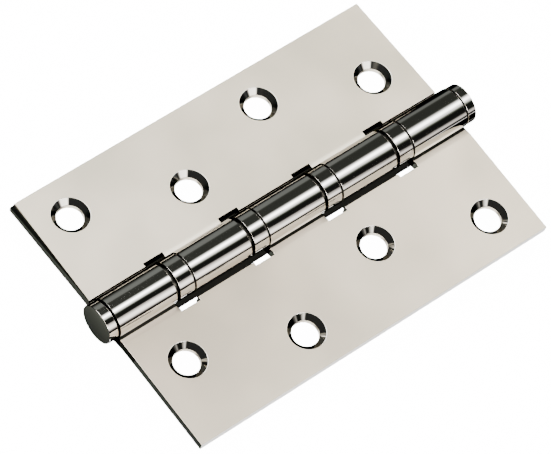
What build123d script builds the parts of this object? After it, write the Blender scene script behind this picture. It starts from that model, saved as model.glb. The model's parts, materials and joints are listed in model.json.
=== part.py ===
# Butt hinge with five rolled knuckles and four ball bearings.
# Millimetres. X runs along the pin, Y from the front leaf to the back leaf, Z up.
# The hinge lies open on its back, on the barrel and on both outer edges.
import os
from math import asin, atan2, cos, degrees, hypot, radians, sin, tan

from build123d import *

# Leaves
leaf_length = 100.0
leaf_reach = 35.0
sheet = 2.5
closed_gap = 2.5
edge_round = 0.4

# Barrel
pin_radius = 2.45
running_play = 0.05
knuckle_count = 5
bearing_length = 5.3
seam_gap = 0.3
neck_run = 2.05
notch_gap = 1.15

# Screw holes, in two staggered rows
hole_count = 4
hole_pitch = 26.8
inner_row = 17.1
outer_row = 25.8
hole_radius = 3.2
sink_radius = 4.5

# End caps and pin
cap_inset = 0.2
cap_rim = 2.9
cap_bevel = 0.4
stem_length = 5.0
pin_end_gap = 0.2

# Bearings
shell_wall = 0.45
shell_setback = 0.65
race_gap = 0.35
race_thickness = 1.65
ball_radius = 0.8
ball_play = 0.02
ball_count = 8

# Sizes that follow
bore = pin_radius + running_play
barrel = bore + sheet
half_length = leaf_length / 2
pin_drop = closed_gap / 2
knuckle_length = (leaf_length - (knuckle_count - 1) * bearing_length) / knuckle_count
station_pitch = knuckle_length + bearing_length
bend_reach = barrel + neck_run
notch_reach = barrel + notch_gap
neck_slope = asin(bore / hypot(bend_reach, pin_drop)) - atan2(pin_drop, bend_reach)
seam_angle = asin((bore - seam_gap) / barrel) - neck_slope
edge_centre = (leaf_reach - edge_round, pin_drop + sheet - edge_round)
droop = asin((barrel - edge_round) / hypot(*edge_centre)) - atan2(edge_centre[1], edge_centre[0])
race_radius = barrel - shell_wall - race_gap
ball_circle = (pin_radius + barrel - shell_wall) / 2
axis_at_rest = Pos(0, 0, barrel)


def on_circle(radius, angle):
    """Point on a circle about the pin axis, in the section of a leaf."""
    return radius * cos(angle), radius * sin(angle)


def leaf_section():
    """Section at a knuckle: flat sheet, sloping neck, roll under and round the pin, seam at its end."""
    touch = neck_slope - radians(90)
    sweep = degrees(-seam_angle - touch) - 360
    back_bend = bend_reach + sheet * tan(neck_slope / 2)
    top = Polyline((leaf_reach, -pin_drop), (bend_reach, -pin_drop), on_circle(bore, touch))
    inside = CenterArc((0, 0), bore, degrees(touch), sweep)
    lip = Line(on_circle(bore, -seam_angle), on_circle(barrel, -seam_angle))
    outside = CenterArc((0, 0), barrel, degrees(touch), sweep)
    bottom = Polyline(
        on_circle(barrel, touch),
        (back_bend, -pin_drop - sheet),
        (leaf_reach, -pin_drop - sheet),
        (leaf_reach, -pin_drop),
    )
    return round_edge(make_face(top + inside + lip + outside + bottom))


def sheet_section(reach):
    """Section beside the knuckles: flat sheet that stops at a distance from the pin axis."""
    width = leaf_reach - reach
    return round_edge(Pos(reach + width / 2, -pin_drop - sheet / 2) * Rectangle(width, sheet))


def round_edge(section):
    """Rounds the two outer edges of a leaf's section."""
    return fillet(section.vertices().group_by(Axis.X)[-1], edge_round)


def knuckle_start(index):
    """Left end of a knuckle, counted from 0 at the left."""
    return index * station_pitch - half_length


def slab(section, start, length):
    """A section carried along the pin."""
    return extrude(Plane.YZ.offset(start) * section, length)


def screw_hole(x, row):
    """Through hole with a square countersink that opens at the upper face."""
    depth = sink_radius - hole_radius
    drill = Pos(x, row, -pin_drop - sheet / 2) * Cylinder(hole_radius, 2 * sheet)
    sink = Pos(x, row, -pin_drop - depth / 2) * Cone(hole_radius, sink_radius, depth)
    return drill + sink


def leaf(own_first):
    """One leaf towards +Y; every second knuckle from own_first on is its own."""
    body = Part()
    for index in range(knuckle_count):
        start = knuckle_start(index)
        section = leaf_section() if index % 2 == own_first else sheet_section(notch_reach)
        body += slab(section, start, knuckle_length)
        if index:
            body += slab(sheet_section(bend_reach), start - bearing_length, bearing_length)
    for index in range(hole_count):
        x = (index - (hole_count - 1) / 2) * hole_pitch
        body -= screw_hole(x, inner_row if index % 2 else outer_row)
    return axis_at_rest * Rot(-degrees(droop), 0, 0) * body


def front_leaf():
    return Rot(0, 0, 180) * leaf(0)


def back_leaf():
    return leaf(1)


def rod(start, end, radius):
    """Solid round bar on the pin axis."""
    return axis_at_rest * Pos((start + end) / 2, 0, 0) * Rot(0, 90, 0) * Cylinder(radius, end - start)


def ring(start, end, inner, outer):
    return rod(start, end, outer) - rod(start, end, inner)


def hinge_pin():
    """Plain pin, held between the stems of the two caps."""
    reach = half_length - stem_length - pin_end_gap
    return rod(-reach, reach, pin_radius)


def end_cap():
    """Right cap: flat button with a bevelled rim and a stem that fills the bore."""
    button = rod(half_length, half_length + cap_rim, barrel - cap_inset)
    button = chamfer(button.edges().sort_by(Axis.X)[-1], cap_bevel)
    return button + rod(half_length - stem_length, half_length, bore)


def ball():
    """Ball as eighteen flats that all touch its round surface."""
    block = Box(2 * ball_radius, 2 * ball_radius, 2 * ball_radius)
    return block & Rot(45, 0, 0) * block & Rot(0, 45, 0) * block & Rot(0, 0, 45) * block


def ball_ring(x):
    """Balls of one bearing, spread evenly round the pin."""
    one = Pos(0, 0, ball_circle) * ball()
    turns = [Rot(index * 360 / ball_count, 0, 0) for index in range(ball_count)]
    return axis_at_rest * Pos(x, 0, 0) * Compound([turn * one for turn in turns])


def bearing_pieces(start):
    """Shell, seat race, balls and turning race of the bearing whose left end is at start."""
    end = start + bearing_length
    shell_bore = barrel - shell_wall
    turning_face = start + race_thickness
    balls_at = turning_face + ball_play + ball_radius
    seat_face = balls_at + ball_radius + ball_play
    return {
        "shell": ring(start + shell_setback, end, shell_bore, barrel),
        "seat_race": ring(seat_face, end, bore, shell_bore),
        "balls": ball_ring(balls_at),
        "turning_race": ring(start, turning_face, bore, race_radius),
    }


def all_pieces():
    right_cap = end_cap()
    pieces = {
        "front_leaf": front_leaf(),
        "back_leaf": back_leaf(),
        "hinge_pin": hinge_pin(),
        "left_cap": Rot(0, 0, 180) * right_cap,
        "right_cap": right_cap,
    }
    for index in range(1, knuckle_count):
        for name, shape in bearing_pieces(knuckle_start(index) - bearing_length).items():
            pieces[f"bearing_{index}_{name}"] = shape
    return pieces


os.makedirs("parts", exist_ok=True)
for node, shape in all_pieces().items():
    export_step(shape, f"parts/{node}.step")
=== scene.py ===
"""Looks of a polished butt hinge with ball bearings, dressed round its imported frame.

Metres. X runs along the pin, Y from the front leaf to the back leaf, Z up.
"""
import json
import math

import bpy
import numpy as np
from mathutils import Matrix, Vector
from mathutils.geometry import tessellate_polygon


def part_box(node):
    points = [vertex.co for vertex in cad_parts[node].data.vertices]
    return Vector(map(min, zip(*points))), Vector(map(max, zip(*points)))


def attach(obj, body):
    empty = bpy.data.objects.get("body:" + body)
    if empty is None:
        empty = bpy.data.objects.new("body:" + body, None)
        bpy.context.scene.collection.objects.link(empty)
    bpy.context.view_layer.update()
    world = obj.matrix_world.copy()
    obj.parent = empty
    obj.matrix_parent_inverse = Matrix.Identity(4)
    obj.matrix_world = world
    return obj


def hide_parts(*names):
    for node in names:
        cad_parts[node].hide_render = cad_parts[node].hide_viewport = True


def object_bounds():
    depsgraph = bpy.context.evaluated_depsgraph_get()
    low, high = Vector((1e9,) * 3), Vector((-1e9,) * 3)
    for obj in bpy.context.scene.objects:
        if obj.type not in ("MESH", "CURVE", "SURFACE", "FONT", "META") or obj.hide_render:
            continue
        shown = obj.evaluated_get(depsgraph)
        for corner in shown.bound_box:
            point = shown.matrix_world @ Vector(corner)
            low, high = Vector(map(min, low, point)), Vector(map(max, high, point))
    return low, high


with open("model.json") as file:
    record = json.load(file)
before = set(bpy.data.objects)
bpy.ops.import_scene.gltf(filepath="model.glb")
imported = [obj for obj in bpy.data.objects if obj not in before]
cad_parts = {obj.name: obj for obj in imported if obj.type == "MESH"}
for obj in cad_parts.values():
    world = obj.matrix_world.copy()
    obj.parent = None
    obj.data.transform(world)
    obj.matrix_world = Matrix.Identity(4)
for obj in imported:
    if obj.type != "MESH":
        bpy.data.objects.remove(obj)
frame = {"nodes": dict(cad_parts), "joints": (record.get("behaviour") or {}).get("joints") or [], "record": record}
cad_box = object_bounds()
mounts = {mount["name"]: mount for mount in frame["record"]["mounts"]}

# Sheet of the leaves
leaf_reach = 0.03498
sheet = 0.0025
closed_gap = 0.0025
notch_reach = 0.00615
relief_reach = 0.00705
seam_gap = 0.00045
edge_round = 0.0001
outer_back_round = 0.0004
edge_steps = 4
smallest_area = 1e-14

# Worn left end of the back leaf: a bevel that is widest at the outer corner
worn_width = 0.0011
worn_depth = 0.001
worn_run = 0.002
worn_slopes = (math.radians(50), math.radians(60))

# Rolled knuckles
crease_round = 0.003
crease_steps = 6
roll_steps = 84

# Screw holes, in two staggered lines, and the rows of their profile on the cone and the straight wall
hole_count = 4
sink_radius = 0.0045
hole_round = 0.00015
hole_round_steps = 3
hole_segments = 96
cone_rows = slice(hole_round_steps, hole_round_steps + 3)
wall_rows = slice(2 * hole_round_steps + 1, None)

# Round pieces on the pin
bearing_count = 4
turned_segments = 120
rim_round = 0.0001
shell_round = 0.00006
shell_groove = 0.0003
shell_seam = 0.00045
cap_groove = 0.0005
cap_dome = 0.0001
dome_steps = 5
ball_count = 8
ball_across = 0.0016
ball_segments = 24

# Painted shade on a scale from 0 to 1, darker on the worn end, and painted dark lines along the barrel
worn_dirt = 0.25
mouth_start = 0.0016
mouth_full = 0.0019
# Painted dark line along the back of the barrel, and painted shade fading in on its underside
dark_line_lift = math.radians(28)
dark_line_full = math.radians(13)
dark_line_none = math.radians(20)
underside_shade_fade = 0.1

# Polish of the leaves; sunk marks the countersink cones for painted shade
satin = 0.0
mirror = 1.0
sunk = 2.0

# Satin nickel on the flats of the leaves, with painted shade towards the barrel and towards some ends
satin_tints = ((0.74, 0.68, 0.56), (0.83, 0.755, 0.62), (0.91, 0.83, 0.69))
satin_cloud_places = (0.36, 0.5, 0.64)
satin_cloud_scale = 40.0
satin_gloss = (0.36, 0.44)
satin_brushing = 0.8
brush_scales = (60.0, 2400.0, 2400.0)
brush_detail = 3.0
leaf_shade_tint = (0.62, 0.585, 0.565)
leaf_shade_across = (0.55, 1.0)
front_leaf_shade_ends = (1.0, 0.25)
back_leaf_shade_ends = (0.0, 0.0)

# Mirror bright nickel on the barrel, and painted shade that darkens the countersinks
mirror_tint = (0.74, 0.72, 0.69)
mirror_shade = 0.96
mirror_cloud_places = (0.3, 0.7)
mirror_cloud_scale = 200.0
mirror_gloss = 0.04
sink_shade_tint = (0.10, 0.10, 0.093)

# Waves in the plate, and the painted shade on it, broken into specks
noise_detail = 2.0
wave_scale = 70.0
wave_detail = 1.0
wave_height = 0.00004
unshaded_sheen = (1.0, 1.0, 1.0)
dirt_tint = (0.055, 0.055, 0.048)
speck_scale = 1500.0
speck_share = 0.6
speck_ends = (0.5, 0.8)

# Steel inside the barrel; the dark greased races also paint the shade in the grooves and seams
grease_and_shade_tints = ((0.02, 0.02, 0.017), (0.07, 0.068, 0.06))
grease_places = (0.35, 0.7)
grease_scale = 900.0
grease_gloss = 0.3
steel_tints = ((0.40, 0.40, 0.41), (0.52, 0.52, 0.53))
grinding_places = (0.3, 0.7)
grinding_scales = (4000.0, 120.0, 120.0)
steel_gloss = (0.18, 0.32)

# Camera, from a fit to the leaf edges and holes in the photograph
aim = Vector((-0.0017, -0.0005, 0.0))
camera_distance = 0.875
camera_azimuth = math.radians(-56.43)
camera_elevation = math.radians(58.99)
camera_roll = math.radians(20.9)
lens = 255.9
sensor = 36.0

# Floor, cards on it and the light from above
floor_radius = 2.5
cove_radius = 1.0
cove_steps = 12
wall_height = 3.0
floor_segments = 64
floor_tint = (0.9, 0.9, 0.9)
card_lift = 0.00002
bounce_ends = (-0.4, 0.4)
bounce_reach = (-0.042, -0.03495)
bounce_tint = (1.0, 0.99, 0.97)
bounce_strength = 2.2
shade_tint = (0.001, 0.001, 0.0008)
shade_share = 0.98
top_light_strength = 60.0
top_light_spread = math.radians(3)

# Line that the studio's boxes fan out from, and the parts of a direction between which its light changes
fan_line = math.radians(-8.0)
fan_ends = (0.39, 0.47)
fan = (1.17, 0.80)
gain_ends = (0.2, 0.48)
gains = (1.5, 0.8)
horizon = (-0.05, 0.15)
side_end = (0.30, 0.37)
box_left_end = (-0.35, -0.2)
box_right_end = (0.62, 0.5)
end_middle = (-0.1, 0.1)
paper_heights = (-0.72, -0.8)
paper_gap = (0.985, 0.96)
gap_walls = ((-1.0, 0.0, 0.0), (0.0, -1.0, 0.0))

# Brightness and tint of the studio's light
sky_peak = 40.0
neutral = (1.0, 1.0, 0.98)
warm = (1.0, 0.93, 0.80)
haze = (0.94, 1.0, 0.93)
green = (0.93, 1.0, 0.85)
pink = (1.0, 0.94, 0.88)
paper = (8.0, neutral)

# Boxes and gaps along the pin: degrees from straight up towards the front, brightness and tint
half_turn = 180
sky_stripes = [
    (-180, 0.02, green), (-105, 0.05, green), (-92, 0.10, green), (-84, 0.22, haze), (-72, 0.26, haze),
    (-58, 0.24, haze), (-52, 0.07, green), (-46, 0.05, green), (-14, 0.05, green), (-10, 0.2, green),
    (-5, 1.5, neutral), (-1, 4.5, neutral), (3, 9.5, neutral), (9, 10.5, neutral), (14, 4.0, neutral),
    (19, 2.2, neutral), (24, 0.45, green), (29, 0.03, green), (33, 0.014, green), (53, 0.014, green),
    (57, 0.5, pink), (64, 1.6, pink), (77, 4.0, pink), (90, 3.0, pink), (98, 0.6, pink),
    (111, 0.2, pink), (150, 0.4, neutral), (156, 0.012, green),
]
side_stripes = [
    (-180, 0.012, green), (-60, 0.012, green), (-50, 7.5, neutral), (-28, 10.0, neutral),
    (-15, 3.5, neutral), (0, 1.5, neutral), (30, 0.02, green), (54, 0.02, green), (58, 20.0, pink),
    (68, 36.0, pink), (76, 30.0, pink), (84, 0.1, green), (180, 0.012, green),
]

# Room at both ends of the pin: height from -1 straight down to 1 straight up, brightness and tint
full_height = 1
left_heights = [
    (-1.0, 0.02, green), (-0.9, 0.05, green), (-0.857, 0.10, green), (-0.8, 0.24, green),
    (-0.7, 0.12, green), (-0.55, 0.012, green), (0.15, 0.012, green), (0.3, 0.2, neutral),
    (0.58, 0.25, neutral), (0.66, 9.0, warm), (0.76, 9.0, warm), (0.82, 4.0, warm), (1.0, 4.0, neutral),
]
right_heights = [
    (-1.0, 0.02, green), (0.2, 0.012, green), (0.35, 1.0, neutral), (0.58, 1.5, neutral),
    (0.64, 9.0, warm), (0.76, 9.0, warm), (0.82, 4.0, warm), (1.0, 4.0, neutral),
]

# Directions
pin_axis = np.array([1.0, 0.0, 0.0])
upwards = np.array([0.0, 0.0, 1.0])

# Sizes read from the frame
mm_per_metre = 1000
axis_height = frame["joints"][0]["pos_m"][2]
leaf_low, leaf_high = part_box("front_leaf")
half_length = (leaf_high.x - leaf_low.x) / 2
barrel = cad_box[1][2] - axis_height
bore = barrel - sheet
pin_drop = closed_gap / 2
inner_screws = mounts["back_inner_screws"]
droop = math.asin(inner_screws["axis"][1])
hole_radius = inner_screws["dims"]["hole_r_mm"] / mm_per_metre
hole_pitch = inner_screws["dims"]["pcd_mm"] / 2 / mm_per_metre
bearing_ends = [
    (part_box(f"bearing_{index}_turning_race")[0].x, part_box(f"bearing_{index}_seat_race")[1].x)
    for index in range(1, bearing_count + 1)
]
knuckle_starts = [-half_length] + [end for start, end in bearing_ends]
knuckle_ends = [start for start, end in bearing_ends] + [half_length]
knuckles = list(zip(knuckle_starts, knuckle_ends))
back_knuckles = knuckles[1::2]

# Shape of the roll
crease_centre = math.hypot(relief_reach, pin_drop + crease_round)
neck_slope = math.asin((bore + crease_round) / crease_centre)
neck_slope -= math.atan2(pin_drop + crease_round, relief_reach)
seam_angle = math.asin((bore - seam_gap) / barrel) - neck_slope
crease_end = crease_round * neck_slope
neck_end = crease_end + math.sqrt(crease_centre**2 - (bore + crease_round) ** 2)
roll_turn = neck_slope + seam_angle + 1.5 * math.pi
tab_length = neck_end + bore * roll_turn


def hole_row(name):
    """Distance of a row of holes from the pin axis, along the leaf."""
    x, y, z = mounts[name]["pos_m"]
    return y * math.cos(droop) - (z - axis_height) * math.sin(droop)


def hole_places():
    """Centres of a leaf's holes, along the pin and out from its axis, outer and inner row in turn."""
    rows = (hole_row("back_outer_screws"), hole_row("back_inner_screws"))
    middle = (hole_count - 1) / 2
    return [((index - middle) * hole_pitch, rows[index % 2]) for index in range(hole_count)]


def roll_section(inward):
    """Point on the sheet's upper face in the leaf's section, and the slope of the outward direction there.

    inward is the distance from the start of the bend towards the pin. The slope is 0 on the flat, grows
    to neck_slope round the bend, stays so down the neck, and falls as the sheet rolls round the pin. The
    point is the sum of those directions.
    """
    slope = np.select(
        [inward <= 0, inward <= crease_end, inward <= neck_end],
        [0 * inward, inward / crease_round, 0 * inward + neck_slope],
        neck_slope - (inward - neck_end) / bore,
    )
    bend_y = relief_reach - crease_round * np.sin(slope)
    bend_z = -pin_drop - crease_round * (1 - np.cos(slope))
    down_neck = np.clip(inward - crease_end, 0, None)
    rolled = inward > neck_end
    y = np.where(inward <= 0, relief_reach - inward, bend_y - down_neck * math.cos(neck_slope))
    z = np.where(inward <= 0, -pin_drop, bend_z - down_neck * math.sin(neck_slope))
    y = np.where(rolled, bore * np.sin(slope), y)
    z = np.where(rolled, -bore * np.cos(slope), z)
    return y, z, slope


def place_leaf(x, y, z, front):
    """Turns points or directions of a level leaf towards +Y to its droop at rest, on its own side."""
    turned_y = y * math.cos(droop) + z * math.sin(droop)
    turned_z = z * math.cos(droop) - y * math.sin(droop)
    side = -1 if front else 1
    return np.stack([side * x, side * turned_y, turned_z], axis=-1)


def blank_outline(own_first):
    """Outline of the flat blank of a leaf, before its tabs are rolled.

    Returns the points (along the pin, outwards from the bend), whether each belongs to a rolled tab, and
    for each tab the numbers of the points down its left and right sides. The inner edge steps to a short
    tongue beside the other leaf's knuckles, to the relief beside bearings, and to a tab where it rolls.
    The last point is where the worn end runs out along the outer edge.
    """
    tongue = notch_reach - relief_reach
    crease = np.linspace(0, crease_end, crease_steps)[1:]
    roll = np.linspace(neck_end, tab_length - 2 * edge_round, roll_steps)
    mouth = [mouth_start, mouth_full]
    side = [-inward for inward in np.concatenate([crease, mouth, roll])]
    outer = leaf_reach - relief_reach
    points = [(-half_length, outer)]
    rolled = [False]
    tabs = []
    last = len(knuckles) - 1
    for index, (start, end) in enumerate(knuckles):
        own = index % 2 == own_first
        left = [0.0] if own or index else []
        right = [0.0] if own or index < last else []
        left = left + (side + [-tab_length] if own else [tongue])
        right = ([-tab_length] + side[::-1] if own else [tongue]) + right
        first = len(points)
        middle = first + len(left)
        points += [(start, outwards) for outwards in left] + [(end, outwards) for outwards in right]
        rolled += [own and outwards < 0 for outwards in left + right]
        if own:
            tabs.append((np.arange(first, middle), np.arange(middle, len(points))[::-1]))
    points += [(half_length, outer), (worn_run - half_length, outer)]
    rolled += [False, False]
    return np.array(points), np.array(rolled), tabs


def edge_profile(back_round):
    """Rounded edge of the sheet from its upper to its back face: inset, height and angle of the normal."""
    turn = np.linspace(0, math.pi / 2, edge_steps + 1)
    angle = np.concatenate([turn, math.pi - turn[::-1]])
    size = np.where(angle <= math.pi / 2, edge_round, back_round)
    size[edge_steps + 1] = back_round
    inset = size * (1 - np.sin(angle))
    base = np.concatenate([-size[: edge_steps + 1], size[edge_steps + 1 :] - sheet])
    return inset, size * np.cos(angle) + base, angle


def hole_profile():
    """Countersunk hole from the upper to the back face: radius, height and angle of the normal.

    Three roundings about their own centres, at the rim, where the square cone meets the straight hole,
    and at the back; straight runs join them. Each is given with its first and last angle in degrees.
    """
    tangent = hole_round * math.tan(math.pi / 8)
    depth = sink_radius - hole_radius
    centres = [
        (sink_radius + tangent, -hole_round, 90, 135),
        (hole_radius + hole_round, -depth - tangent, 135, 180),
        (hole_radius + hole_round, hole_round - sheet, 180, 270),
    ]
    radius, height, angle = [], [], []
    for centre_radius, centre_height, first, last in centres:
        turn = np.radians(np.linspace(first, last, hole_round_steps + 1))
        radius.append(centre_radius + hole_round * np.cos(turn))
        height.append(centre_height + hole_round * np.sin(turn))
        angle.append(turn)
    return np.concatenate(radius), np.concatenate(height), np.concatenate(angle)


def grid_faces(ids, closed):
    """Quads between neighbouring rows and columns of a table of point numbers."""
    after = np.roll(ids, -1, axis=1)
    if not closed:
        ids, after = ids[:, :-1], after[:, :-1]
    return np.stack([ids[:-1], ids[1:], after[1:], after[:-1]], axis=-1).reshape(-1, 4)


def poled_faces(ids):
    """Quads of a table of point numbers that closes round, and triangles to one point at both its ends."""
    after = np.roll(ids, -1, axis=1)
    start = np.stack([0 * ids[0] + ids[0, 0], ids[1], after[1]], axis=1)
    finish = np.stack([ids[-2], 0 * ids[-1] + ids[-1, 0], after[-2]], axis=1)
    return [grid_faces(ids[1:-1], True), start, finish]


def used_points(groups):
    """Numbers of the points that groups of faces use, and the groups with those points counted from 0."""
    used, inverse = np.unique(np.concatenate([group.ravel() for group in groups]), return_inverse=True)
    renumbered = np.split(inverse, np.cumsum([group.size for group in groups])[:-1])
    return used, [new.reshape(old.shape) for new, old in zip(renumbered, groups)]


def fill_flat(rim, holes, points):
    """Triangles of a flat face inside a rim and outside its holes, counted anticlockwise from above."""
    loops = [rim] + holes
    ids = np.concatenate(loops)
    flat = [(points[loop] * (1 - upwards)).tolist() for loop in loops]
    triangles = ids[np.array(tessellate_polygon(flat))]
    a, b, c = (points[triangles[:, corner], :2] for corner in range(3))
    area = (b[:, 0] - a[:, 0]) * (c[:, 1] - a[:, 1]) - (b[:, 1] - a[:, 1]) * (c[:, 0] - a[:, 0])
    triangles[area < 0] = triangles[area < 0][:, ::-1]
    return triangles[np.abs(area) > smallest_area]


def build_mesh(name, points, faces, corner_normals, **finish):
    """Mesh of faces of any number of corners, smooth, with a given normal at each corner of each face.

    Each array in finish becomes an attribute of the points.
    """
    mesh = bpy.data.meshes.new(name)
    mesh.from_pydata(points.tolist(), [], [face for group in faces for face in group.tolist()])
    mesh.polygons.foreach_set("use_smooth", np.ones(len(mesh.polygons), bool))
    normals = np.concatenate([group.reshape(-1, 3) for group in corner_normals])
    mesh.normals_split_custom_set(normals.tolist())
    for name_of_finish, values in finish.items():
        attribute = mesh.attributes.new(name_of_finish, "FLOAT", "POINT")
        attribute.data.foreach_set("value", values.astype(np.float32))
    mesh.update()
    piece = bpy.data.objects.new(name, mesh)
    bpy.context.scene.collection.objects.link(piece)
    return piece


def leaf_edge(outline, worn_end):
    """Edge of the blank: the edge profile carried round the outline, inset along the mitre of each corner.

    Returns rings of points (along the pin, outwards, height) from the upper to the back face, and the
    normals at the corners of their faces. A worn end drops the upper rings at the first corner to a bevel.
    """
    step = np.roll(outline, -1, axis=0) - outline
    step /= np.linalg.norm(step, axis=1)[:, None]
    inward = np.stack([-step[:, 1], step[:, 0]], axis=1)
    before = np.roll(inward, 1, axis=0)
    mitre = (inward + before) / (1 + (inward * before).sum(axis=1))[:, None]
    outer = outline[:, 1] > 0
    inset, height, angle = edge_profile(edge_round)
    outer_inset, outer_height, angle = edge_profile(outer_back_round)
    inset = np.where(outer[None], outer_inset[:, None], inset[:, None])
    height = np.where(outer[None], outer_height[:, None], height[:, None])
    edge = np.concatenate([outline[None] + inset[..., None] * mitre[None], height[..., None]], axis=2)
    tilt = np.repeat(angle[:, None], len(outline), axis=1)
    if worn_end:
        worn = np.sqrt(np.linspace(0, 1, edge_steps + 1))
        edge[: edge_steps + 1, 0, 0] = worn_width * (1 - worn) - half_length
        edge[: edge_steps + 1, 0, 2] = -worn_depth * worn
        tilt[:edge_steps, 0] = np.interp(worn[:edge_steps], [0, 1], worn_slopes)
    normal = np.concatenate([-inward[None] * np.sin(tilt)[..., None], np.cos(tilt)[..., None]], axis=2)
    upper, lower = normal[:-1], normal[1:]
    return edge, np.stack([upper, lower, lower, upper], axis=2).reshape(-1, 4, 3)


def screw_hole(x, reach, first):
    """Countersunk hole: the hole profile turned round its centre.

    Returns its points, the table of their numbers from first on, and the normals at its faces' corners.
    """
    radius, depth, slant = hole_profile()
    around = np.linspace(0, 2 * math.pi, hole_segments, endpoint=False)
    ring = np.stack([np.cos(around), -np.sin(around)], axis=1)
    flat = np.array([x, reach - relief_reach]) + radius[:, None, None] * ring[None]
    depths = np.broadcast_to(depth[:, None, None], flat.shape[:2] + (1,))
    ids = first + np.arange(depths.size).reshape(flat.shape[:2])
    out = np.cos(slant)[:, None, None] * ring[None]
    rise = np.broadcast_to(np.sin(slant)[:, None, None], depths.shape)
    normal = np.concatenate([out, rise], axis=2)
    after = np.roll(normal, -1, axis=1)
    corners = np.stack([normal[:-1], normal[1:], after[1:], after[:-1]], axis=2)
    return np.concatenate([flat, depths], axis=2).reshape(-1, 3), ids, corners.reshape(-1, 4, 3)


def flat_sides(edge_ids, rolled, tabs, holes, points):
    """Upper and back faces of the blank, filled between edge and holes, then in strips along its tabs."""
    upper = fill_flat(edge_ids[0][~rolled], [ids[0] for ids in holes], points)
    back = fill_flat(edge_ids[-1][~rolled], [ids[-1] for ids in holes], points)
    pairs = [(upper, back)]
    for left, right in tabs:
        strip = np.stack([left, right], axis=1)
        pairs.append((grid_faces(edge_ids[0][strip], False), grid_faces(edge_ids[-1][strip], False)))
    faces, normals = [], []
    for above, below in pairs:
        faces += [above, below[:, ::-1]]
        normals.append(np.broadcast_to(upwards, above.shape + (3,)))
        normals.append(np.broadcast_to(-upwards, below.shape + (3,)))
    return faces, normals


def roll_leaf(points, bent, faces, normals, front):
    """Rolls the bent points of the blank round the pin and lays the leaf at rest.

    A point lies on the section's line, moved along the sheet's normal there by its height. Returns the
    points, the turned normals and the slope of the sheet at each point.
    """
    y, z, slope = roll_section(-points[:, 1])
    y = np.where(bent, y, relief_reach + points[:, 1])
    z = np.where(bent, z, -pin_drop)
    slope = np.where(bent, slope, 0.0)
    y = y - points[:, 2] * np.sin(slope)
    z = z + points[:, 2] * np.cos(slope)
    placed = place_leaf(points[:, 0], y, z, front) + axis_height * upwards
    turned = []
    for group, normal in zip(faces, normals):
        tip = slope[group]
        turned_y = normal[..., 1] * np.cos(tip) - normal[..., 2] * np.sin(tip)
        turned_z = normal[..., 1] * np.sin(tip) + normal[..., 2] * np.cos(tip)
        turned.append(place_leaf(normal[..., 0], turned_y, turned_z, front))
    return placed, turned, slope


def leaf_polish(points, bent, edge_ids, holes):
    """Polish of a leaf's points: satin flats and hole walls, brighter down the necks, sunk in the cones for
    painted shade.
    """
    polish = np.full(len(points), mirror)
    both_faces = np.concatenate([edge_ids[0], edge_ids[-1]])
    down_neck = np.clip(-points[both_faces, 1] / neck_end, satin, mirror)
    polish[both_faces] = np.where(bent[both_faces], down_neck, satin)
    for ids in holes:
        polish[ids[0]] = satin
        polish[ids[wall_rows]] = satin
        polish[ids[cone_rows]] = sunk
    return polish


def leaf_dirt(points, bent, slope, edge_ids, front):
    """Painted shade on a leaf's points: in the seams from the mouth of each roll on, by the distance inwards.

    The front leaf has the painted dark line along its knuckles, the back leaf painted shade in its pockets and a
    darker worn end.
    """
    dirt = np.zeros(len(points))
    seams = edge_ids[:-1]
    mouth = np.clip((-points[:, 1] - mouth_start) / (mouth_full - mouth_start), 0, 1)
    # Painted shade in the seams inside each roll
    dirt[seams] = np.where(bent[seams], mouth[seams], 0.0)
    if front:
        # Painted dark line along the back of the knuckles
        outside = edge_ids[-1]
        lift = -slope[outside] - math.pi / 2 + droop
        dirt[outside] = np.where(bent[outside], painted_dark_line(lift), 0.0)
    else:
        # Painted shade on the walls along the inner edge, without the corners at both ends of the leaf
        pocket = edge_ids[1:-1, 2:-3]
        pocket_wall = (points[pocket, 1] < 2 * edge_round) & ~bent[pocket]
        dirt[pocket] = np.where(pocket_wall, 1.0, dirt[pocket])
        # Darker on the worn end
        dirt[edge_ids[1:edge_steps, :2]] = worn_dirt
    return dirt


def painted_dark_line(lift):
    """Painted dark line along the back of the barrel, by the angle above the level of the pin there."""
    return np.clip((dark_line_none - np.abs(lift - dark_line_lift)) / (dark_line_none - dark_line_full), 0, 1)


def leaf(name, front):
    """Leaf: a flat blank with rounded edges and countersunk holes, its tabs then rolled round the pin."""
    outline, rolled, tabs = blank_outline(0 if front else 1)
    edge, edge_normals = leaf_edge(outline, not front)
    edge_ids = np.arange(edge.shape[0] * edge.shape[1]).reshape(edge.shape[:2])
    points = edge.reshape(-1, 3)
    faces = [grid_faces(edge_ids, True)]
    normals = [edge_normals]
    holes = []
    for x, reach in hole_places():
        hole_points, hole_ids, hole_normals = screw_hole(x, reach, len(points))
        points = np.concatenate([points, hole_points])
        faces.append(grid_faces(hole_ids, True))
        normals.append(hole_normals)
        holes.append(hole_ids)
    side_faces, side_normals = flat_sides(edge_ids, rolled, tabs, holes, points)
    faces += side_faces
    normals += side_normals
    bent = np.zeros(len(points), bool)
    bent[: edge_ids.size] = np.tile(rolled, len(edge_ids))
    placed, turned, slope = roll_leaf(points, bent, faces, normals, front)
    polish = leaf_polish(points, bent, edge_ids, holes)
    dirt = leaf_dirt(points, bent, slope, edge_ids, front)
    return build_mesh(name, placed, faces, turned, polish=polish, dirt=dirt)


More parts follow.
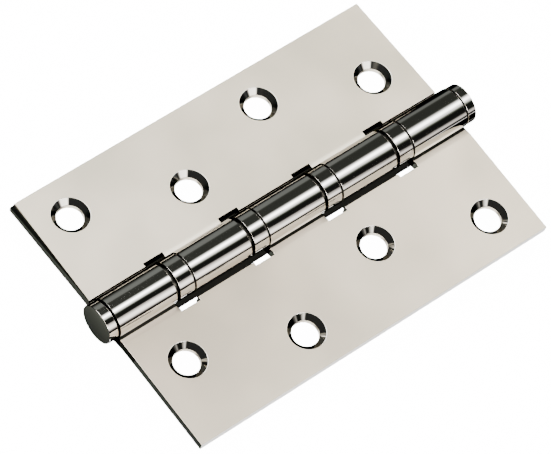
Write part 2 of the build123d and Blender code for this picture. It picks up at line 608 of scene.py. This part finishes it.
def turned_piece(name, profile, polish, closed):
    """Profile turned round the pin axis.

    Its rows are the place along the pin, the radius, and the angle of the normal from outwards towards +X.
    A closed profile gives a ring. An open one starts and ends on the axis, where all its points are one.
    Painted shade darkens it where the profile is marked unpolished, along the back and on the whole underside.
    """
    along, radius, angle = profile
    around = np.linspace(0, 2 * math.pi, turned_segments, endpoint=False)
    spokes = np.stack([0 * around, np.sin(around), np.cos(around)], axis=1)
    points = radius[:, None, None] * spokes[None]
    points = points + np.stack([along, 0 * along, 0 * along + axis_height], axis=1)[:, None]
    normals = np.cos(angle)[:, None, None] * spokes[None] + np.sin(angle)[:, None, None] * pin_axis
    # Painted shade on the underside and in a dark line along the back
    underside = np.clip(1 - np.cos(around) / underside_shade_fade, 0, 1)
    shade_lines = np.maximum(painted_dark_line(math.pi / 2 - around), underside)
    dirt = np.maximum(1 - polish[:, None], np.abs(np.cos(angle))[:, None] * shade_lines[None])
    ids = np.arange(dirt.size).reshape(dirt.shape)
    groups = [grid_faces(np.concatenate([ids, ids[:1]]), True)] if closed else poled_faces(ids)
    used, groups = used_points(groups)
    points = points.reshape(-1, 3)[used]
    normals = normals.reshape(-1, 3)[used]
    return build_mesh(name, points, groups, [normals[group] for group in groups], dirt=dirt.ravel()[used])


def rounded_corner(x, radius, first, last, size):
    """Points of a quarter round that fills the corner at x and radius, with normals from first to last."""
    turn = np.radians(np.linspace(first, last, edge_steps + 1))
    middle = math.radians((first + last) / 2)
    centre_x = x - size * math.copysign(1, math.sin(middle))
    centre_radius = radius - size * math.copysign(1, math.cos(middle))
    return np.stack([centre_x + size * np.sin(turn), centre_radius + size * np.cos(turn), turn])


def turned_ring(name, start, end, inner, outer, size):
    """Ring on the pin: a square section with rounded corners, turned about the pin."""
    corners = [
        rounded_corner(start, outer, -90, 0, size),
        rounded_corner(end, outer, 0, 90, size),
        rounded_corner(end, inner, 90, 180, size),
        rounded_corner(start, inner, 180, 270, size),
    ]
    profile = np.concatenate(corners, axis=1)
    # End faces and the bore get painted shade
    return turned_piece(name, profile, np.clip(np.cos(profile[2]), 0, 1), True)


def bearing_ring(node, inner, groove, seam):
    """Ring as thick as its frame node, cut short for a groove on its left and a seam on its right."""
    low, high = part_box(node)
    outer = high.z - axis_height
    return turned_ring(node + "_ring", low.x + groove, high.x - seam, inner, outer, shell_round)


def cap_dome_profile(face, edge):
    """Face of a cap as an arc of a large circle, from its edge to the pin axis."""
    dome_radius = (edge**2 + cap_dome**2) / (2 * cap_dome)
    tilt = np.linspace(math.asin(edge / dome_radius), 0, dome_steps + 1)
    x = face + dome_radius * (np.cos(tilt) - 1)
    return np.stack([x, dome_radius * np.sin(tilt), math.pi / 2 - tilt])


def end_cap(name, node, stem_radius):
    """Button with a slightly domed face, a rounded rim, a groove under it and a stem, turned round the pin.

    The profile is that of the right cap, and is mirrored for the left one.
    """
    low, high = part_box(node)
    outward = 1 if high.x > half_length else -1
    face = max(outward * low.x, outward * high.x)
    stem = min(outward * low.x, outward * high.x)
    radius = (high.z - low.z) / 2
    root_radius = radius - 2 * cap_groove
    under = half_length + cap_groove
    inwards = -math.pi / 2
    start = np.array([(stem, 0.0, inwards)]).T
    stem_edge = rounded_corner(stem, stem_radius, -90, 0, edge_round)
    groove = np.array(
        [
            (half_length, stem_radius, 0.0),
            (half_length, stem_radius, inwards),
            (half_length, root_radius, inwards),
            (half_length, root_radius, 0.0),
            (under, root_radius, 0.0),
            (under, root_radius, inwards),
        ]
    ).T
    shoulder = rounded_corner(under, radius, -90, 0, shell_round)
    rim = rounded_corner(face - cap_dome, radius, 0, 90, rim_round)
    hidden = np.concatenate([start, stem_edge, groove], axis=1)
    shown = np.concatenate([shoulder, rim, cap_dome_profile(face, radius - rim_round)], axis=1)
    profile = np.concatenate([hidden, shown], axis=1)
    # The hidden stem and groove get full painted shade
    polish = np.repeat([0.0, 1.0], [hidden.shape[1], shown.shape[1]])
    if outward < 0:
        profile = profile[:, ::-1] * np.array([[-1], [1], [-1]])
        polish = polish[::-1]
    return turned_piece(name, profile, polish, False)


def ball_set(name, node):
    """Balls of one bearing, each a sphere from its latitude and longitude, spread evenly round the pin."""
    low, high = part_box(node)
    middle = (low.x + high.x) / 2
    circle = (high.z - low.z) / 2 - ball_across / 2
    latitude = np.linspace(-math.pi / 2, math.pi / 2, ball_segments // 2 + 1)
    longitude = np.linspace(0, 2 * math.pi, ball_segments, endpoint=False)
    latitude, longitude = np.meshgrid(latitude, longitude, indexing="ij")
    across = np.cos(latitude)
    sphere = np.stack([np.sin(latitude), across * np.sin(longitude), across * np.cos(longitude)], axis=-1)
    sphere = sphere.reshape(-1, 3)
    turn = np.arange(ball_count) * 2 * math.pi / ball_count
    centre_y = circle * np.sin(turn)
    centre_z = axis_height + circle * np.cos(turn)
    centres = np.stack([0 * turn + middle, centre_y, centre_z], axis=1)
    points = (centres[:, None] + sphere[None] * ball_across / 2).reshape(-1, 3)
    ids = np.arange(len(sphere)).reshape(latitude.shape)
    shift = (np.arange(ball_count) * len(sphere))[:, None, None]
    groups = [(group[None] + shift).reshape(-1, group.shape[1]) for group in poled_faces(ids)]
    used, groups = used_points(groups)
    normals = np.tile(sphere, (ball_count, 1))[used]
    return build_mesh(name, points[used], groups, [normals[group] for group in groups])


class Nodes:
    """Short way to make and join the nodes of one shader."""

    def __init__(self, owner):
        owner.use_nodes = True
        self.tree = owner.node_tree
        self.tree.nodes.clear()

    def add(self, kind, values=(), **settings):
        """Node with settings, and a number, a colour of three parts or a link for each named socket."""
        node = self.tree.nodes.new("ShaderNode" + kind)
        for name, value in settings.items():
            setattr(node, name, value)
        for name, value in dict(values).items():
            socket = node.inputs[name]
            if isinstance(value, bpy.types.NodeSocket):
                self.tree.links.new(value, socket)
            elif socket.type == "RGBA":
                socket.default_value = (*value, 1.0)
            else:
                socket.default_value = value
        return node

    def ramp(self, factor, stops):
        """Colour ramp with (place, colour) stops."""
        stops = list(stops)
        node = self.add("ValToRGB", {"Fac": factor})
        elements = node.color_ramp.elements
        middle = 0.5
        while len(elements) < len(stops):
            elements.new(middle)
        for element, (place, colour) in zip(elements, stops):
            element.position = place
            element.color = (*colour, 1.0)
        return node.outputs["Color"]

    def noise(self, place, scale, detail=noise_detail):
        """Noise with about scale spots to the metre."""
        return self.add("TexNoise", {"Vector": place, "Scale": scale, "Detail": detail}).outputs["Fac"]

    def stretched_noise(self, place, scales, detail=noise_detail):
        """Noise with its own scale along each axis."""
        stretched = self.add("Mapping", {"Vector": place, "Scale": scales}).outputs["Vector"]
        return self.noise(stretched, 1.0, detail)

    def map_range(self, value, ends=(0.0, 1.0), results=(0.0, 1.0), **settings):
        """Takes a value between two ends to the same place between two results."""
        limits = dict(zip(("From Min", "From Max", "To Min", "To Max"), (*ends, *results)))
        return self.add("MapRange", {"Value": value, **limits}, **settings).outputs["Result"]

    def fade(self, value, nothing, full):
        """Smooth step from 0 at one value to 1 at another."""
        return self.map_range(value, (nothing, full), interpolation_type="SMOOTHSTEP")

    def calculate(self, operation, *values):
        """Result of one step of arithmetic on one to three values."""
        return self.add("Math", dict(enumerate(values)), operation=operation).outputs["Value"]

    def mix(self, factor, first, second, **settings):
        """Two colours mixed by a factor."""
        values = {"Fac": factor, "Color1": first, "Color2": second}
        return self.add("MixRGB", values, **settings).outputs["Color"]


def nickel_shader(nodes, place, tint, roughness, brushing):
    """Nickel plate, a little wavy from the rolling and the wheel, dark where painted shade lies in its corners.

    Brushing spreads its light across the pin.
    """
    # Painted shade from the points, broken into specks, darkens the tint and the sheen
    dirt = nodes.add("Attribute", attribute_name="dirt").outputs["Fac"]
    patchy = nodes.calculate("MULTIPLY_ADD", nodes.noise(place, speck_scale), speck_share, dirt)
    painted_shade_share = nodes.map_range(patchy, speck_ends)
    swell = nodes.noise(place, wave_scale, wave_detail)
    waves = nodes.add("Bump", {"Height": swell, "Strength": 1.0, "Distance": wave_height})
    facing = nodes.add("NewGeometry").outputs["Normal"]
    across = nodes.add("VectorMath", {0: facing, 1: pin_axis}, operation="CROSS_PRODUCT")
    shader = nodes.add(
        "BsdfPrincipled",
        {
            "Base Color": nodes.mix(painted_shade_share, tint, dirt_tint),
            "Specular Tint": nodes.mix(painted_shade_share, unshaded_sheen, dirt_tint),
            "Metallic": 1.0,
            "Roughness": roughness,
            "Anisotropic": brushing,
            "Tangent": across.outputs["Vector"],
            "Normal": waves.outputs["Normal"],
        },
    )
    nodes.add("OutputMaterial", {"Surface": shader.outputs["BSDF"]})


def leaf_nickel(name, leaf_shade_ends):
    """Nickel plate of a leaf: satin with faint clouds on the flats, bright on the roll, painted shade in the
    cones.

    The shade ends say how much painted shade darkens the satin at the left and the right end.
    """
    material = bpy.data.materials.new(name)
    nodes = Nodes(material)
    place = nodes.add("TexCoord").outputs["Object"]
    polish = nodes.add("Attribute", attribute_name="polish").outputs["Fac"]
    clouds = nodes.noise(place, satin_cloud_scale)
    tint = nodes.ramp(clouds, zip(satin_cloud_places, satin_tints))
    axes = nodes.add("SeparateXYZ", {"Vector": place}).outputs
    # Painted shade on the flats, towards the given ends and towards the barrel
    along = nodes.map_range(axes["X"], (-half_length, half_length), leaf_shade_ends)
    across = nodes.map_range(axes["Y"], (-leaf_reach, -relief_reach), leaf_shade_across)
    leaf_shade = nodes.calculate("MULTIPLY", along, across)
    tint = nodes.mix(leaf_shade, tint, leaf_shade_tint, blend_type="MULTIPLY")
    tint = nodes.mix(polish, tint, mirror_tint)
    # Painted shade in the countersink cones
    tint = nodes.mix(nodes.map_range(polish, (mirror, sunk)), tint, sink_shade_tint)
    lines = nodes.stretched_noise(place, brush_scales, brush_detail)
    brushed = nodes.map_range(lines, results=satin_gloss)
    gloss = nodes.map_range(polish, (satin, mirror), (brushed, mirror_gloss))
    brushing = nodes.map_range(polish, (satin, mirror), (satin_brushing, 0.0))
    nickel_shader(nodes, place, tint, gloss, brushing)
    return material


def barrel_nickel():
    """Mirror bright nickel plate with faint clouds in its tint."""
    material = bpy.data.materials.new("barrel_nickel")
    nodes = Nodes(material)
    place = nodes.add("TexCoord").outputs["Object"]
    clouds = nodes.noise(place, mirror_cloud_scale)
    shaded_tint = tuple(mirror_shade * part for part in mirror_tint)
    tint = nodes.ramp(clouds, zip(mirror_cloud_places, (mirror_tint, shaded_tint)))
    nickel_shader(nodes, place, tint, mirror_gloss, 0.0)
    return material


def greased_and_shaded_steel():
    """Dark greased races, the coat thicker in some places; their near-black tint also paints the shade in the
    grooves and seams.
    """
    material = bpy.data.materials.new("greased_and_shaded_steel")
    nodes = Nodes(material)
    place = nodes.add("TexCoord").outputs["Object"]
    tint = nodes.ramp(nodes.noise(place, grease_scale), zip(grease_places, grease_and_shade_tints))
    shader = nodes.add("BsdfPrincipled", {"Base Color": tint, "Metallic": 1.0, "Roughness": grease_gloss})
    nodes.add("OutputMaterial", {"Surface": shader.outputs["BSDF"]})
    return material


def bearing_steel():
    """Ground steel: fine rings of grinding round the pin in its tint and gloss."""
    material = bpy.data.materials.new("ground_bearing_steel")
    nodes = Nodes(material)
    place = nodes.add("TexCoord").outputs["Object"]
    rings = nodes.stretched_noise(place, grinding_scales)
    tint = nodes.ramp(rings, zip(grinding_places, steel_tints))
    gloss = nodes.map_range(rings, results=steel_gloss)
    shader = nodes.add("BsdfPrincipled", {"Base Color": tint, "Metallic": 1.0, "Roughness": gloss})
    nodes.add("OutputMaterial", {"Surface": shader.outputs["BSDF"]})
    return material


def dress(piece, material, body, slot, *nodes):
    """Gives a piece its finish and its body, and hides the frame nodes that it stands for."""
    piece.data.materials.clear()
    piece.data.materials.append(material)
    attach(piece, body)
    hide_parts(*nodes)


def finish_node(node, material):
    """Gives a frame node that stays its finish."""
    materials = frame["nodes"][node].data.materials
    materials.clear()
    materials.append(material)


def body_of_node(node):
    """Name of the body that a frame node belongs to."""
    bodies = frame["record"]["behaviour"]["bodies"]
    return next(body for body, members in bodies.items() if node in members)


def make_bearing(index, nickel, grease_and_shade, steel):
    """Shell, turning race and balls of one bearing, and the finish of its seat race."""
    kinds = ("shell", "seat_race", "balls", "turning_race")
    shell_node, seat_node, balls_node, race_node = (f"bearing_{index}_{kind}" for kind in kinds)
    seat_low, seat_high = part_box(seat_node)
    shell = bearing_ring(shell_node, (seat_high.z - seat_low.z) / 2, shell_groove, shell_seam)
    dress(shell, nickel, body_of_node(shell_node), "polished_nickel", shell_node)
    race = bearing_ring(race_node, bore, 0.0, 0.0)
    dress(race, grease_and_shade, body_of_node(race_node), "polished_nickel", race_node)
    balls = ball_set(balls_node + "_round", balls_node)
    dress(balls, steel, body_of_node(balls_node), "bearing_steel", balls_node)
    finish_node(seat_node, grease_and_shade)


def make_pieces():
    """All pieces of the hinge that stand for frame nodes, and the finish of the nodes that stay."""
    front_finish = leaf_nickel("front_leaf_nickel", front_leaf_shade_ends)
    back_finish = leaf_nickel("back_leaf_nickel", back_leaf_shade_ends)
    barrel_finish = barrel_nickel()
    grease_and_shade = greased_and_shaded_steel()
    steel = bearing_steel()
    dress(leaf("front_leaf_sheet", True), front_finish, "front", "polished_nickel", "front_leaf")
    dress(leaf("back_leaf_sheet", False), back_finish, "back", "polished_nickel", "back_leaf")
    for node in ("left_cap", "right_cap"):
        dress(end_cap(node + "_button", node, bore), barrel_finish, "front", "polished_nickel", node)
    for index in range(1, bearing_count + 1):
        make_bearing(index, barrel_finish, grease_and_shade, steel)
    finish_node("hinge_pin", steel)


def sky_colour(brightness, tint):
    """Colour of a light as a share of the brightest one."""
    return tuple(brightness / sky_peak * np.array(tint))


def sky_ramp(nodes, place, steps, reach):
    """Ramp through steps of (place from -reach to reach, brightness, tint)."""
    return nodes.ramp(place, [((at + reach) / (2 * reach), sky_colour(*light)) for at, *light in steps])


def soft_boxes(nodes, axes):
    """Soft boxes and dark gaps that run along the pin, by the angle from straight up towards the front.

    They fan out from one line towards the right and dim there and at the horizon. Further left another
    set of boxes takes their place.
    """
    frontwards = nodes.calculate("MULTIPLY", axes["Y"], -1.0)
    angle = nodes.calculate("ARCTAN2", frontwards, axes["Z"])
    spread = nodes.map_range(axes["X"], fan_ends, fan)
    from_line = nodes.calculate("SUBTRACT", angle, fan_line)
    fanned = nodes.calculate("MULTIPLY_ADD", from_line, spread, fan_line)
    place = nodes.map_range(fanned, (-math.pi, math.pi))
    gain = nodes.map_range(axes["X"], gain_ends, gains)
    gain = nodes.calculate("MULTIPLY", gain, nodes.fade(axes["Z"], *horizon))
    stripes = sky_ramp(nodes, place, sky_stripes, half_turn)
    stripes = nodes.add("VectorMath", {0: stripes, "Scale": gain}, operation="SCALE").outputs["Vector"]
    side = sky_ramp(nodes, place, side_stripes, half_turn)
    return nodes.mix(nodes.fade(axes["X"], *side_end), side, stripes)


def room_ends(nodes, axes):
    """Plain room beyond both ends of the pin, by height: bright above, dark at the level of the hinge."""
    height = nodes.map_range(axes["Z"], (-full_height, full_height))
    left = sky_ramp(nodes, height, left_heights, full_height)
    right = sky_ramp(nodes, height, right_heights, full_height)
    return nodes.mix(nodes.fade(axes["X"], *end_middle), left, right)


def paper_share(nodes, direction, height):
    """Share of white paper in the light from below, with gaps where the walls of the sheet mirror it."""
    share = nodes.fade(height, *paper_heights)
    for facing in gap_walls:
        mirrored = -sight_axes().col[2].reflect(Vector(facing))
        near = nodes.add("VectorMath", {0: direction, 1: mirrored}, operation="DOT_PRODUCT")
        share = nodes.calculate("MULTIPLY", share, nodes.fade(near.outputs["Value"], *paper_gap))
    return share


def studio_sky():
    """Light of the studio by direction: soft boxes along the pin, plain room at its ends, paper below."""
    world = bpy.data.worlds.new("studio")
    bpy.context.scene.world = world
    nodes = Nodes(world)
    direction = nodes.add("TexCoord").outputs["Generated"]
    axes = nodes.add("SeparateXYZ", {"Vector": direction}).outputs
    left = nodes.fade(axes["X"], *box_left_end)
    right = nodes.fade(axes["X"], *box_right_end)
    between = nodes.calculate("MULTIPLY", left, right)
    room = nodes.mix(between, room_ends(nodes, axes), soft_boxes(nodes, axes))
    light = nodes.mix(paper_share(nodes, direction, axes["Z"]), room, sky_colour(*paper))
    sky = nodes.add("Background", {"Color": light, "Strength": sky_peak})
    nodes.add("OutputWorld", {"Surface": sky.outputs["Background"]})
    world.cycles_visibility.diffuse = False


def stage_piece(name, points, faces, shader_kind, values):
    """Floor or card with a plain finish, which isn't part of the hinge."""
    mesh = bpy.data.meshes.new(name)
    mesh.from_pydata(points, [], faces)
    material = bpy.data.materials.new(name)
    nodes = Nodes(material)
    shader = nodes.add(shader_kind, values)
    nodes.add("OutputMaterial", {"Surface": shader.outputs[0]})
    mesh.materials.append(material)
    piece = bpy.data.objects.new(name, mesh)
    bpy.context.scene.collection.objects.link(piece)
    return piece


def sweep():
    """Pale floor that curves up to a wall far from the hinge, a profile turned round the vertical."""
    turn = np.linspace(0, math.pi / 2, cove_steps + 1)
    wall_radius = floor_radius + cove_radius
    radius = np.concatenate([[0.0], floor_radius + cove_radius * np.sin(turn), [wall_radius]])
    height = np.concatenate([[0.0], cove_radius * (1 - np.cos(turn)), [wall_height]])
    around = np.linspace(0, 2 * math.pi, floor_segments, endpoint=False)
    x = radius[:, None] * np.cos(around)
    y = radius[:, None] * np.sin(around)
    points = np.stack([x, y, np.broadcast_to(height[:, None], x.shape)], axis=-1).reshape(-1, 3)
    ids = np.arange(x.size).reshape(x.shape)
    quads = grid_faces(ids[1:], True)[:, ::-1]
    middle = np.stack([0 * ids[0], ids[1], np.roll(ids[1], -1)], axis=1)
    faces = quads.tolist() + middle.tolist()
    floor = stage_piece("floor", points.tolist(), faces, "BsdfDiffuse", {"Color": floor_tint})
    floor.data.polygons.foreach_set("use_smooth", np.ones(len(faces), bool))
    floor.visible_glossy = False


def card(name, x_ends, y_ends, shader_kind, values):
    """Thin card that lies on the floor, from its four corners."""
    (left, right), (front, back) = x_ends, y_ends
    corners = [(left, front), (right, front), (right, back), (left, back)]
    points = [(x, y, card_lift) for x, y in corners]
    return stage_piece(name, points, [(0, 1, 2, 3)], shader_kind, values)


def show_in_mirrors_only(piece):
    """Keeps a card out of the camera's sight and out of the floor's light, so that only metal shows it."""
    piece.visible_camera = False
    piece.visible_diffuse = False
    piece.visible_shadow = False


def dark_card(name, x_ends, y_ends):
    """Card as dark as the deep shadow under the barrel."""
    return card(name, x_ends, y_ends, "BsdfDiffuse", {"Color": shade_tint})


def cards():
    """White card that the front edge mirrors, and dark cards for the shadow under the barrel.

    The camera sees the floor in the back knuckles' notches half a sheet further along, so the cards for
    them are moved by that. The undersides of those knuckles and of the left cap mirror cards of their own.
    """
    glow = {"Color": bounce_tint, "Strength": bounce_strength}
    show_in_mirrors_only(card("bounce_card", bounce_ends, bounce_reach, "Emission", glow))
    shade_front = -shade_share * barrel
    under_front = (-2 * barrel, shade_front)
    dark_card("shadow_card", (sheet - half_length, half_length), (shade_front, relief_reach + sheet))
    for start, end in back_knuckles:
        dark_card("notch_card", (start + sheet / 2, end + sheet / 2), (-relief_reach, shade_front))
        show_in_mirrors_only(dark_card("underside_card", (start, end + sheet), under_front))
    under_cap = (cad_box[0][0], sheet - half_length)
    show_in_mirrors_only(dark_card("cap_card", under_cap, (-2 * barrel, barrel)))


def sight_axes():
    """Axes of the view as columns: to the right, up, and back from the hinge to the camera."""
    flat = math.cos(camera_elevation)
    back_x = math.sin(camera_azimuth) * flat
    back_y = -math.cos(camera_azimuth) * flat
    back = Vector((back_x, back_y, math.sin(camera_elevation)))
    level = Vector((math.cos(camera_azimuth), math.sin(camera_azimuth), 0.0))
    up = back.cross(level)
    right = level * math.cos(camera_roll) + up * math.sin(camera_roll)
    return Matrix((right, back.cross(right), back)).transposed()


def top_light():
    """Light along the line of sight that whitens the floor, so that shadows hide behind the hinge."""
    data = bpy.data.lights.new("top_light", "SUN")
    data.energy = top_light_strength
    data.angle = top_light_spread
    light = bpy.data.objects.new("top_light", data)
    light.visible_glossy = False
    light.rotation_euler = sight_axes().to_euler()
    bpy.context.scene.collection.objects.link(light)


def photo_camera():
    """Camera at the photograph's angle, rolled about its line of sight."""
    data = bpy.data.cameras.new("photo_camera")
    data.lens = lens
    data.sensor_width = sensor
    camera = bpy.data.objects.new("photo_camera", data)
    turn = sight_axes()
    camera.matrix_world = Matrix.Translation(aim + turn.col[2] * camera_distance) @ turn.to_4x4()
    bpy.context.scene.collection.objects.link(camera)
    bpy.context.scene.camera = camera


make_pieces()
studio_sky()
sweep()
cards()
top_light()
photo_camera()
